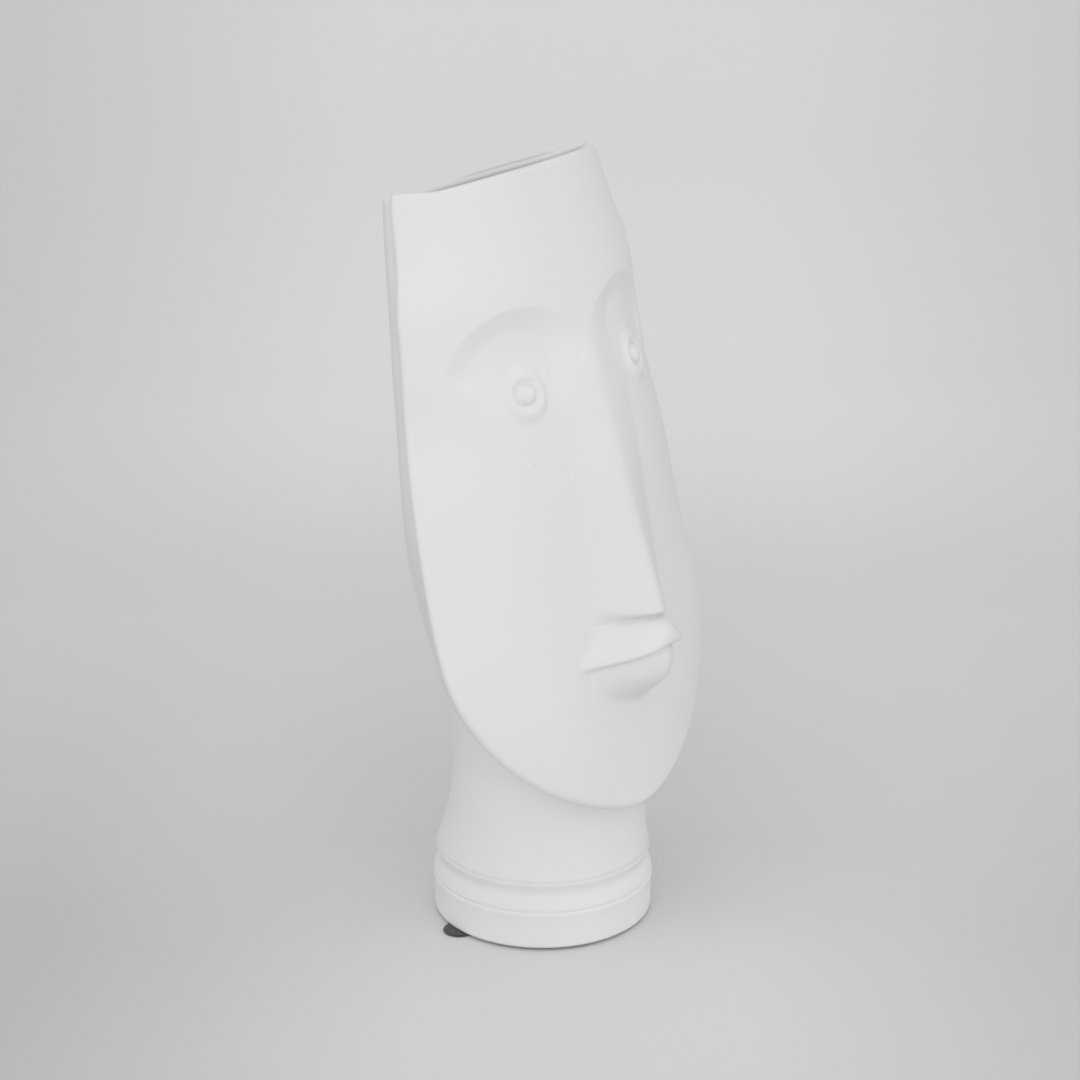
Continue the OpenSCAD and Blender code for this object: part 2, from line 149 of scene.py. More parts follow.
# Eyes and brows
EYE_X = 32.0
EYE_AT = 162.5
EYES_FROM_AT = 120.0
BEAD_R = 3.7
BEAD_SHARE = 0.66
LID_OUT = 1.7
LID_R = 11.0
LID_TOP_R = 6.0
LID_OVAL = (1.15, 0.95)
BOWL_D = 1.5
BOWL_R = 6.4
BOWL_FLOOR_R = 3.4
SOCKET_D = 3.0
SOCKET_RISE = (-10, 17)

# Arch of the brow. Pairs are turns round the eye in degrees, from its outer side over the brow to
# the nose, between which something changes
BROW_R = 30.5
OUTER_TIGHTER = 2.2
OUTER_TIGHTER_TURN = (55, 25)
INNER_REACH = 1.6
INNER_REACH_TURN = (110, 150)
LEDGE_START_TURN = (12, 36)
LEDGE_END_TURN = (165, 120)
LEDGE_W = 8.0
OUTER_FADE_W = 26.0
OUTER_FADE_TURN = (8, 34)
INNER_FADE_W = 9.0
INNER_FADE_TURN = (115, 155)

# Body behind the face, its hollow, and the neck
BODY_W = 68.0
BODY_RIM_W = 57.5
BODY_FROM_Z = 58.0
BODY_WIDE_Z = 175.0
BODY_NARROW_Z = 185.0
BODY_NARROW_H = 95.0
BACK_Y = 35.2
BACK_RIM_Y = 9.0
BACK_OUT_Z = 190.0
BACK_OUT_H = 95.0
BODY_LEAN_Y = 21.0
BODY_LEAN_Z = 165.0
BODY_LEAN_H = 120.0
NECK_R = 35.0
NECK_AHEAD = 1.7
NECK_LEAN_Z = 44.0
NECK_BLEND_Z = 120.0
CROTCH_Z = 64.0
SECTION_RISE = 0.55
LEVEL_TO_AT = 140.0
WALL = 5.0
FRONT_WALL = 6.0
HOLLOW_POWER = 1.85
HOLLOW_LEAN_AT = 70.0
HOLLOW_ROUND_AT = 20.0
HOLLOW_FLAT_AT = 110.0
HOLLOW_TOP_AT = FACE_LEN - 8

# Angles in degrees on the body where the back of the face plate meets it
MEET_CHIN = -90.0
MEET_CHEEK = 8.0
MEET_RIM_MORE = 7.0
MEET_MORE_FROM_AT = 130.0

# Ringed foot
FOOT_R = 41.4
FOOT_ROUND = 1.5
FOOT_RING_W = 4.0
RECESS_D = 1.5
RECESS_R = 12.0
FLOOR_Z = 8.5
GROOVE_1 = 15.8
GROOVE_2 = 27.5
GROOVE_W = 0.6
GROOVE_D = 0.45
FLARE_R = 5.2
FLARE_STEP = 0.25
BAND_R = 0.4
BAND_HOLLOW = (2.0, GROOVE_1 + 7.2, 4.0)
FOOT_SWELL = (0.5, GROOVE_1, 3.0)

# Rim: its rounded lip, and how much its corners and its back rise
LIP_ROLL = 1.7
NEAR_EAR = 3.0
NEAR_EAR_X = (42.0, 58.0)
FAR_EAR = 1.2
FAR_EAR_X = (44.0, 56.0)
EAR_BELOW = 45.0
BACK_RISE = 1.3
BACK_RISE_Y = (14.0, 30.0)
BACK_RISE_X = (-15.0, 15.0)
BACK_CORNER_LESS = 0.6
BACK_CORNER_X = (42.0, 56.0)

# Felt pads: their places round the axis of the foot
PAD_T = 1.0
PAD_D = 12.0
PAD_ANGLES = [165, 255, 345, 75]
PAD_CIRCLE = [39.8, 31, 31, 31]
PAD_INSET = 0.12
PAD_UNEVEN = 0.03
PAD_SEED = 40

# How finely the loft is cut. Rows: from, to, count, crowding towards the start
ROW_BANDS = [
    (0, 26, 34, 1.7),
    (26, 42, 14, 1),
    (42, 79, 66, 1),
    (79, 148, 40, 1),
    (148, 196, 84, 1),
    (196, FACE_LEN - 2, 26, 1),
]
COLUMNS = 110
ROUND_STEPS = 8
BRIDGE_STEPS = 10
BACK_STEPS = 48
BRIDGE_PULL = 0.35
ROLL_STEPS = 6
HOLLOW_STEPS = 50
PAD_STEPS = 72
NECK_STEP = 1.2
RINGS_STEP = 0.25
RINGS_FROM_Z = 30.0
BORE_Z = (56, 50, 44, 38, 34, 30, 26, 23, 20, 16)
FLOOR_ROUND = ((2, 0.5), (0.5, 1.9), (0, 5.5))


# ---------------------------------------------------------------- small helpers
def clip(q):
    return np.clip(q, 0.0, 1.0)


def ease(a, b, q):
    """0 at a and 1 at b, with a smooth change between. The change may run either way."""
    w = clip((q - a) / (b - a))
    return w * w * (3 - 2 * w)


def mix(a, b, w):
    return a * (1 - w) + b * w


def bell(q):
    return np.exp(-q * q)


def swell(q, size, at, spread):
    """A gentle rise of the given size round one place."""
    return size * bell((q - at) / spread)


def soft_abs(q, r):
    """The size of q, with a rounded turn at 0."""
    return np.sqrt(q * q + r * r) - r


def soft_ramp(q, r):
    """Nothing below 0 and q above it, with a rounded turn between."""
    return 0.5 * (q + np.sqrt(q * q + r * r))


def soft_max(a, b, r):
    """The larger of a and b, with a rounded valley between them, and nothing where both are 0."""
    return 0.5 * (a + b + np.sqrt((a - b) ** 2 + r * r) - r)


def unit(p):
    return p / np.linalg.norm(p, axis=-1, keepdims=True)


def place(x, t, v):
    """Face coordinates to part coordinates."""
    y = LEAN_S * (CHIN_UP + t) - LEAN_C * v
    z = LEAN_C * (CHIN_UP + t) + LEAN_S * v
    return np.stack(np.broadcast_arrays(x, y, z), -1)


# ---------------------------------------------------------------- shield of the face
def half_w(t):
    """Half the width of the shield."""
    low = FACE_W / 2 * (1 - clip(1 - t / WIDEST_AT) ** 1.8) ** 0.6
    up = clip((t - WIDEST_AT) / (FACE_LEN - WIDEST_AT))
    high = FACE_W / 2 - (FACE_W - RIM_W) / 2 * up**1.9
    corner = CORNER_W * (1 - np.sqrt(1 - clip((t - FACE_LEN + CORNER_H) / CORNER_H) ** 2))
    high = high + swell(t, *BROW_WIDER) - swell(t, *TEMPLE_NARROWER) - corner
    return np.where(t < WIDEST_AT, low, high)


def middle_v(t):
    """How far out the middle of the shield is."""
    return CHIN_OUT + BROW_OUT * (1 - clip(1 - t / FACE_LEN) ** 2.2)


def edge_v(t):
    """How far out the edge of the shield is."""
    low = EDGE_OUT + EDGE_CHIN_OUT * clip(1 - t / CHEEK_AT) ** 2
    up = clip((t - CHEEK_AT) / (FACE_LEN - CHEEK_AT))
    up = soft_abs(up, 0.05) / soft_abs(1, 0.05)
    high = EDGE_OUT + EDGE_RIM_OUT * up**1.3
    return np.where(t < CHEEK_AT, low, high) + swell(t, *BROW_FORWARD) - swell(t, *TEMPLE_BACK)


def crown(t):
    """How flat the front of the shield is: its sides fall away more steeply at a higher value."""
    return mix(2.2, 2.5, ease(FLAT_FROM_AT, FLAT_TO_AT, t))


def shield_v(x, t):
    """The smooth shield that carries the features."""
    share = clip(np.abs(x) / np.maximum(half_w(t), 1e-3))
    return middle_v(t) - (middle_v(t) - edge_v(t)) * share ** crown(t)


# ---------------------------------------------------------------- features of the face
def nose_v(x, t):
    """A long wedge: its ridge keeps its distance while the shield falls away below it."""
    ridge = RIDGE_OUT + TIP_OUT * ease(TIP_FROM_AT, TIP_AT, t)
    high = (ridge - middle_v(t)) * ease(NOSE_TOP_AT, NOSE_FULL_AT, t)
    flank = soft_ramp(1 - soft_abs(x, RIDGE_R) / NOSE_W, NOSE_FOOT_ROUND)
    base = NOSE_AT + BASE_RISE * np.abs(x)
    soft = BASE_SOFT + WING_SOFT * clip(np.abs(x) / WING_X) ** 3
    return high * flank * ease(base - soft, base + soft, t)


def upper_lip_v(x, t):
    """The muzzle under the nose: a ridge above, and broad at the line of the mouth."""
    wide = mix(MUZZLE_W, MUZZLE_TOP_W, ease(*MUZZLE_NARROWS_AT, t))
    power = mix(1.9, 1.3, ease(*LIP_SHARPENS_AT, t))
    below = 1 - LIP_FALL * ((LIP_CREST_AT - t) / LIP_FALL_H) ** 2
    above = np.sqrt(clip(1 - ((t - LIP_CREST_AT) / LIP_RISE) ** 2))
    high = LIP_OUT * np.where(t < LIP_CREST_AT, below, above)
    return high * clip(1 - (soft_abs(x, LIP_R) / wide) ** power) ** 1.7


def lower_lip_v(x, t, line):
    """A full band that ends in a soft underside."""
    share = clip(np.abs(x) / MOUTH_W)
    low = LOWER_LIP_AT + LOWER_LIP_RISE * share**1.3
    high = LOWER_LIP_OUT * (1 - share**1.6) ** 1.3
    down = clip((line - t) / (line - low))
    fall = 1 - LOWER_LIP_FALL * (down - LOWER_LIP_FULLEST) ** 2
    return high * fall * ease(low - UNDERSIDE, low + 1.0, t)


def mouth_v(x, t):
    """Both lips, with a soft step and a fine line between them."""
    share = np.abs(x) / MOUTH_W
    line = MOUTH_AT + LIP_BOW * bell(x / LIP_BOW_W) + LIP_END_RISE * share**2
    groove = LIP_LINE_D * bell((t - line) / LIP_LINE_W) * clip(1 - share**2)
    part = ease(line - LIP_STEP, line + LIP_STEP, t)
    return mix(lower_lip_v(x, t, line), upper_lip_v(x, t), part) - groove


def socket_v(x, t):
    """The shallow hollow round the eye: a crisp ledge under the arch, soft at both its ends."""
    across = np.abs(x) - EYE_X
    up = t - EYE_AT
    far = np.hypot(across, up)
    turn = np.degrees(np.arctan2(up, across)) % 360
    turn = np.where(turn > 270, turn - 360, turn)
    crisp = ease(*LEDGE_START_TURN, turn) * ease(*LEDGE_END_TURN, turn)
    reach = BROW_R - OUTER_TIGHTER * ease(*OUTER_TIGHTER_TURN, turn)
    reach = reach + INNER_REACH * ease(*INNER_REACH_TURN, turn)
    width = mix(OUTER_FADE_W, LEDGE_W, ease(*OUTER_FADE_TURN, turn))
    width = width + INNER_FADE_W * ease(*INNER_FADE_TURN, turn)
    share = clip((far - reach + width) / width)
    deep = SOCKET_D * ease(*SOCKET_RISE, up)
    return -deep * (1 - mix(ease(0, 1, share), share**1.35, crisp))


def eye_v(x, t):
    """A bead in a small bowl, inside a low oval lid."""
    across = np.abs(x) - EYE_X
    far = np.hypot(across, t - EYE_AT)
    lid = np.hypot(LID_OVAL[0] * across, LID_OVAL[1] * (t - EYE_AT))
    mound = LID_OUT * (1 - ease(LID_TOP_R, LID_R, lid))
    bowl = BOWL_D * (1 - ease(BOWL_FLOOR_R, BOWL_R, far))
    bead = BEAD_SHARE * np.sqrt(np.maximum(0, BEAD_R**2 - far**2))
    return mound - bowl + bead


def face_v(x, t):
    """The shield with all its features."""
    mouth = np.where(t < MOUTH_TOP_AT, mouth_v(x, t), 0.0)
    eyes = np.where(t > EYES_FROM_AT, socket_v(x, t) + eye_v(x, t), 0.0)
    return shield_v(x, t) + soft_max(nose_v(x, t), mouth, VALLEY_R) + eyes


# ---------------------------------------------------------------- body behind the face
def body_half_w(z):
    """Half the width of the body: it flares above the neck and narrows a little to the rim."""
    flare = NECK_R + (BODY_W - NECK_R) * ease(BODY_FROM_Z, BODY_WIDE_Z, z)
    return flare - (BODY_W - BODY_RIM_W) * clip((z - BODY_NARROW_Z) / BODY_NARROW_H) ** 2


def neck_mid_y(z):
    """The neck stands straight on its foot and leans a little forward into the chin."""
    return -NECK_AHEAD * ease(GROOVE_2, NECK_LEAN_Z, z)


def body_mid_y(z):
    """The middle of the body: straight above the neck, then leaning back."""
    lean = BODY_LEAN_Y * clip((z - BODY_LEAN_Z) / BODY_LEAN_H) ** 1.25
    return lean - NECK_AHEAD * ease(NECK_BLEND_Z, CROTCH_Z, z)


def body_back_y(z):
    """The line down the back of the body."""
    lower = mix(BACK_Y, NECK_R - NECK_AHEAD, ease(NECK_BLEND_Z, CROTCH_Z, z))
    return lower + BACK_RIM_Y * clip((z - BACK_OUT_Z) / BACK_OUT_H) ** 1.8


def section_z(t, y):
    """Height of the section that belongs to place t on the face, at depth y."""
    leaning = (CHIN_UP + t - LEAN_S * y) / LEAN_C
    return mix(CROTCH_Z + SECTION_RISE * t, leaning, ease(0, LEVEL_TO_AT, t))


def body_point(t, a):
    """Point of the body at the angle a in degrees: -90 is the front, 90 the back."""
    s = np.sin(np.radians(a))
    z0 = section_z(t, 0)
    y0 = body_mid_y(z0) + np.where(a > 0, body_back_y(z0) - body_mid_y(z0), NECK_R) * s
    z = section_z(t, y0)
    reach = np.where(a > 0, body_back_y(z) - body_mid_y(z), NECK_R)
    x = body_half_w(z) * np.cos(np.radians(a))
    return np.stack(np.broadcast_arrays(x, body_mid_y(z) + reach * s, z), -1)


def meet_angle(t):
    """Angle at which the back of the face plate meets the body, as body_point takes it."""
    round_cheek = 1 - clip(1 - t / JOINED_FROM_AT) ** 2.5
    more = MEET_RIM_MORE * ease(MEET_MORE_FROM_AT, FACE_LEN, t)
    return mix(MEET_CHIN, MEET_CHEEK, round_cheek) + more


# ---------------------------------------------------------------- edge of the face
def edge_r(t):
    """Radius of the rounded edge: soft round the chin, crisp beside the brow."""
    return mix(EDGE_R_LOW, EDGE_R_HIGH, ease(SOFT_TO_AT, CRISP_FROM_AT, t))


def edge_lip(t):
    """How far the free edge of the face reaches back past its rounding."""
    return mix(EDGE_T_LOW, EDGE_T_HIGH, ease(FREE_TO_AT, JOINED_FROM_AT, t)) - edge_r(t)


def outline_normal(t):
    """Direction square to the outline, in the plane of the face: across and up."""
    step = 0.05
    run = np.where(t > step, 2 * step, t + step)
    slope = (half_w(t + step) - half_w(np.maximum(t - step, 0))) / run
    flat = 1 - ease(*LEVEL_NORMAL_AT, t)
    n = unit(np.stack([np.ones_like(t), -slope * flat], -1))
    n[t < 1e-3] = (0, -1)
    return n


def edge_slope(t):
    """Steepness of the shield where the rounding of its edge starts."""
    n = np.abs(outline_normal(t))
    slope = crown(t) * (middle_v(t) - edge_v(t)) / np.maximum(half_w(t), NARROWEST)
    return slope * n[..., 0] + CHIN_SLOPE * n[..., 1]


def shoulder(t):
    """Where the rounding starts: across and up, so that the edge just reaches the outline."""
    k = edge_slope(t)
    inward = edge_r(t) * (1 - k / np.hypot(1, k))
    n = outline_normal(t)
    return half_w(t) - inward * n[..., 0], t - inward * n[..., 1]


def edge_point(t, out, back):
    """Point of the rounded edge, out from its shoulder and back from the face."""
    n = outline_normal(t)
    k = edge_slope(t)
    c = 1 / np.hypot(1, k)
    x, u = shoulder(t)
    across = out * c - back * k * c
    deep = out * k * c + back * c
    return place(x + across * n[..., 0], u + across * n[..., 1], shield_v(x, u) - deep)


# ---------------------------------------------------------------- rows of the loft
def spread(bands):
    """Places of the rows in all bands, without the last end."""
    return np.concatenate(
        [a + (b - a) * (np.arange(n) / n) ** crowd for a, b, n, crowd in bands]
    )


def half_sections(t):
    """Half of every section, from the middle of the face round the edge to the back."""
    rows = t[:, None]
    x1, t1 = shoulder(t)
    x = x1[:, None] * (np.arange(COLUMNS + 1) / COLUMNS)[None, :]
    up = t1[:, None] + 0 * x
    front = place(x, up, face_v(x, up))

    turn = np.radians(90 * np.arange(1, ROUND_STEPS + 1) / ROUND_STEPS)[None, :]
    wide_t = rows + 0 * turn
    r = edge_r(wide_t)
    rounding = edge_point(wide_t, r * np.sin(turn), r * (1 - np.cos(turn)))

    # Bridge: a smooth curve from the free edge p to the skin of the body s.
    r = edge_r(t)
    back_to = r + edge_lip(t)
    p = edge_point(t, r, back_to)
    p_back = edge_point(t, r, back_to + 1)
    a = meet_angle(t)
    s = body_point(t, a)
    s_ahead = unit(body_point(t, a - 1) - body_point(t, a + 1))
    straight = ease(FREE_TO_AT, JOINED_FROM_AT, t)[:, None]
    p_dir = unit(mix(unit(p_back - p), unit(s - p), straight))
    reach = BRIDGE_PULL * np.linalg.norm(p - s, axis=-1, keepdims=True)
    w = (np.arange(BRIDGE_STEPS) / BRIDGE_STEPS)[None, :, None]
    p1 = (p + reach * p_dir)[:, None, :]
    s1 = (s + reach * s_ahead)[:, None, :]
    bridge = (
        p[:, None, :] * (1 - w) ** 3
        + 3 * p1 * w * (1 - w) ** 2
        + 3 * s1 * w**2 * (1 - w)
        + s[:, None, :] * w**3
    )
    angles = mix(a[:, None], 90, (np.arange(BACK_STEPS + 1) / BACK_STEPS)[None, :])
    back = body_point(rows + 0 * angles, angles)
    return np.concatenate([front, rounding, bridge, back], 1)


def lifted(points, outside):
    """The rim is not quite level: its corners and the outside of its back stand a little higher."""
    x = points[..., 0]
    corner = np.where(x < 0, NEAR_EAR * ease(*NEAR_EAR_X, -x), FAR_EAR * ease(*FAR_EAR_X, x))
    back = BACK_RISE * outside * ease(*BACK_RISE_Y, points[..., 1])
    back = back * ease(*BACK_RISE_X, x) * (1 - BACK_CORNER_LESS * ease(*BACK_CORNER_X, x))
    near_rim = ease(FACE_LEN - EAR_BELOW, FACE_LEN, points @ UP_FACE - CHIN_UP)
    rise = (corner * near_rim)[..., None] * UP_FACE
    rise[..., 2] += np.maximum(back - corner, 0) * near_rim
    return points + rise


def whole_sections(half):
    """Adds the mirrored half to every section."""
    other = half[:, -2:0:-1].copy()
    other[..., 0] *= -1
    return np.concatenate([half, other], 1)


# ---------------------------------------------------------------- hollow inside
def cavity_front(t):
    """The line down the front of the hollow: it follows the neck, then the leaning face."""
    y = LEAN_S * (CHIN_UP + t) - LEAN_C * (middle_v(t) - FRONT_WALL)
    return mix(WALL - NECK_R - NECK_AHEAD, y, ease(0, HOLLOW_LEAN_AT, t))


def cavity_point(t, a):
    """Point of the hollow at the angle a in degrees: -90 is the front, 90 the back."""
    s = np.sin(np.radians(a))
    z0 = section_z(t, 0)
    mid = body_mid_y(z0)
    front = s < 0
    reach = np.where(front, mid - cavity_front(t), body_back_y(z0) - WALL - mid)
    power = mix(1, HOLLOW_POWER, ease(HOLLOW_ROUND_AT, HOLLOW_FLAT_AT, t))
    pull = np.where(front, -(np.abs(s) ** power), s)
    y = mid + reach * pull
    z = section_z(t, y)
    x = (body_half_w(z) - WALL) * np.cos(np.radians(a))
    return np.stack(np.broadcast_arrays(x, y, z), -1)


# ---------------------------------------------------------------- ringed neck
def neck_r(z):
    """Radius of the neck: a flare down to the upper groove, then a hollow band and the foot."""
    share = clip((CROTCH_Z - z) / (CROTCH_Z - GROOVE_2))
    flare = NECK_R + FLARE_STEP + FLARE_R * share**1.7
    waist = FOOT_R + BAND_R - swell(z, *BAND_HOLLOW)
    lower = FOOT_R + swell(z, *FOOT_SWELL)
    r = np.where(z > GROOVE_2, flare, np.where(z > GROOVE_1, waist, lower))
    return r - swell(z, GROOVE_D, GROOVE_1, GROOVE_W) - swell(z, GROOVE_D, GROOVE_2, GROOVE_W)


def neck_profile():
    """Heights and radii down the outside, from the crotch of the body to the recess of the foot."""
    foot_top = PAD_T + FOOT_ROUND
    z = np.concatenate([
        np.arange(CROTCH_Z - 1, RINGS_FROM_Z, -NECK_STEP),
        np.arange(RINGS_FROM_Z, foot_top, -RINGS_STEP),
    ])
    turn = np.radians(np.arange(0, 91, 10))
    round_z = foot_top - FOOT_ROUND * np.sin(turn)
    round_r = FOOT_R - FOOT_ROUND * (1 - np.cos(turn))
    ring_in = FOOT_R - FOOT_ROUND - FOOT_RING_W
    recess_z = [PAD_T, PAD_T + RECESS_D, PAD_T + RECESS_D]
    recess_r = [ring_in, ring_in - 1, RECESS_R]
    return np.concatenate([z, round_z, recess_z]), np.concatenate([neck_r(z), round_r, recess_r])


# ---------------------------------------------------------------- mesh of the body
class Shell:
    """Collects rings of points and the faces between them."""

    def __init__(self):
        self.points = []
        self.faces = []
        self.count = 0

    def ring(self, points):
        """Adds a ring of points and returns their numbers."""
        numbers = np.arange(self.count, self.count + len(points))
        self.points.append(points)
        self.count += len(points)
        return numbers

    def band(self, a, b):
        """Fills the space between two rings."""
        a2 = np.roll(a, -1)
        b2 = np.roll(b, -1)
        self.faces.append(np.stack([a, a2, b2, b], 1))

    def fan(self, ring, centre, turned=False):
        """Closes a ring towards a centre point."""
        c = self.ring(np.array([centre]))[0]
        pairs = np.stack([ring, np.roll(ring, -1)], 1)
        for p, q in pairs:
            self.faces.append(np.array([[q, p, c, c]] if turned else [[p, q, c, c]]))

    def mesh(self, name):
        """The shell as a mesh in metres, with points that fall together joined."""
        bm = bmesh.new()
        points = np.concatenate(self.points)
        points = (points + np.array([0, FOOT_Y, 0])) * MM
        verts = [bm.verts.new(p) for p in points]
        for f in np.concatenate(self.faces):
            ids = list(dict.fromkeys(f.tolist()))
            bm.faces.new([verts[i] for i in ids])
        bmesh.ops.remove_doubles(bm, verts=bm.verts, dist=2e-6)
        bmesh.ops.dissolve_degenerate(bm, edges=bm.edges, dist=1e-7)
        bmesh.ops.recalc_face_normals(bm, faces=bm.faces)
        for f in bm.faces:
            f.smooth = True
        mesh = bpy.data.meshes.new(name)
        bm.to_mesh(mesh)
        bm.free()
        return mesh


def rim_inward(ring):
    """For each point of the rim ring, the direction into the mouth in the rim's own plane."""
    flat = np.stack([ring[:, 0], ring @ INTO_BODY], 1)
    along = np.roll(flat, -2, 0) - np.roll(flat, 2, 0)
    normal = np.stack([-along[:, 1], along[:, 0]], 1)
    normal /= np.linalg.norm(normal, axis=1, keepdims=True)
    centre = flat.mean(0)
    if np.sum(normal * (centre - flat)) < 0:
        normal = -normal
    return normal[:, :1] * np.array([1.0, 0, 0]) + normal[:, 1:] * INTO_BODY


def rolled(ring, sideways, step):
    """The ring moved along the rounded lip of the rim."""
    turn = math.pi / 2 * step / ROLL_STEPS
    moved = ring + sideways * LIP_ROLL * (1 - math.cos(turn))
    return moved + UP_FACE * LIP_ROLL * math.sin(turn)


def hollow_angles(top):
    """Angles of the hollow that match the points of the outer ring at the rim."""
    z_top = section_z(FACE_LEN, 0)
    mid = body_mid_y(z_top)
    front_reach = mid - cavity_front(np.array(FACE_LEN))
    back_reach = body_back_y(z_top) - WALL - mid
    dy = top[:, 1] - mid
    front = -(np.abs(dy) / front_reach) ** (1 / HOLLOW_POWER)
    across = top[:, 0] / (body_half_w(z_top) - WALL)
    return np.degrees(np.arctan2(np.where(dy < 0, front, dy / back_reach), across))


def add_rim_and_hollow(shell, top, last):
    """Rolls over the rim, then carries the same columns down inside to the floor."""
    inward = rim_inward(top)
    angles = hollow_angles(top)
    inner_top = cavity_point(FACE_LEN - LIP_ROLL, angles)
    outward = -rim_inward(inner_top)
    rows = [lifted(rolled(top, inward, i), 1) for i in range(1, ROLL_STEPS + 1)]
    rows += [lifted(rolled(inner_top, outward, i), 0) for i in range(ROLL_STEPS, -1, -1)]
    rows += [lifted(cavity_point(t, angles), 0) for t in np.linspace(HOLLOW_TOP_AT, 0, HOLLOW_STEPS)]
    cos_a = np.cos(np.radians(angles))
    sin_a = np.sin(np.radians(angles))
    bore = [(z, neck_r(z) - WALL) for z in BORE_Z]
    bore += [(FLOOR_Z + up, FOOT_R - WALL - short) for up, short in FLOOR_ROUND]
    for z, r in bore:
        rows.append(np.stack([r * cos_a, neck_mid_y(z) + r * sin_a, z + 0 * cos_a], 1))
    for row in rows:
        ring = shell.ring(row)
        shell.band(last, ring)
        last = ring
    shell.fan(last, (0, neck_mid_y(FLOOR_Z), FLOOR_Z))


def add_neck(shell, section, numbers):
    """Carries the columns behind the slit of the first section on down to the foot."""
    meet = COLUMNS + ROUND_STEPS + BRIDGE_STEPS + 1
    last = numbers[meet:len(numbers) - meet]
    points = section[meet:len(section) - meet]
    turn = np.arctan2(points[:, 1] - neck_mid_y(CROTCH_Z), points[:, 0])
    for z, r in zip(*neck_profile()):
        y = neck_mid_y(z) + r * np.sin(turn)
        ring = shell.ring(np.stack([r * np.cos(turn), y, z + 0 * turn], 1))
        shell.band(ring, last)
        last = ring
    shell.fan(last, (0, 0, PAD_T + RECESS_D))


def build_body():
    shell = Shell()
    rows = np.concatenate([spread(ROW_BANDS), [FACE_LEN - LIP_ROLL]])
    sections = whole_sections(half_sections(rows))
    rings = [shell.ring(lifted(s, 1)) for s in sections]
    for low, high in zip(rings[:-1], rings[1:]):
        shell.band(low, high)
    add_rim_and_hollow(shell, sections[-1], rings[-1])
    add_neck(shell, sections[0], rings[0])
    return shell.mesh("vase_body_shell")


# ---------------------------------------------------------------- felt pads
def build_pad(index):
    """A pressed felt dot: rounded upper and lower edges and a slightly uneven rim."""
    rng = np.random.default_rng(PAD_SEED + index)
    phase = rng.uniform(0, 2 * math.pi, 4)
    turn = np.linspace(0, 2 * math.pi, PAD_STEPS, endpoint=False)
    uneven = sum(PAD_UNEVEN * np.sin((3 + 4 * i) * turn + phase[i]) for i in range(4))
    angle = math.radians(PAD_ANGLES[index])
    centre = PAD_CIRCLE[index] * np.array([math.cos(angle), math.sin(angle), 0])
    side = PAD_D / 2 - PAD_INSET
    profile = [(0.35, 0), (0.1, 0.1), (0, 0.3), (0, 0.7), (0.1, 0.9), (0.35, 1)]
    shell = Shell()
    rings = []
    for short, up in profile:
        r = side - short + uneven
        points = np.stack([r * np.cos(turn), r * np.sin(turn), up * PAD_T + 0 * turn], 1)
        rings.append(shell.ring(centre + points))
    for low, high in zip(rings[:-1], rings[1:]):
        shell.band(low, high)
    shell.fan(rings[0], tuple(centre), turned=True)
    shell.fan(rings[-1], tuple(centre + np.array([0, 0, PAD_T])))
    return shell.mesh(f"felt_pad_{index + 1}_dot")


# ---------------------------------------------------------------- materials
def linear(value):
    """sRGB channel, 0 to 1, as a linear value."""
    return value / 12.92 if value <= 0.04045 else ((value + 0.055) / 1.055) ** 2.4


def colour(r, g, b):
    return (linear(r / 255), linear(g / 255), linear(b / 255), 1)


GLAZE = colour(226, 226, 224)
GLAZE_CLOUD = colour(230, 230, 228)
SPECK = colour(214, 213, 210)
FELT_DARK = colour(44, 44, 46)
FELT_LIGHT = colour(74, 74, 77)
PAPER = colour(222, 222, 221)
PAPER_CLOUD = colour(224, 224, 223)
# Painted shade, painted light and deeper painted shade, laid over the backdrop paper by place
PAPER_PAINTED_SHADE = colour(204, 204, 204)
PAPER_PAINTED_LIGHT = colour(232, 232, 231)
PAPER_PAINTED_DEEP_SHADE = colour(190, 190, 190)


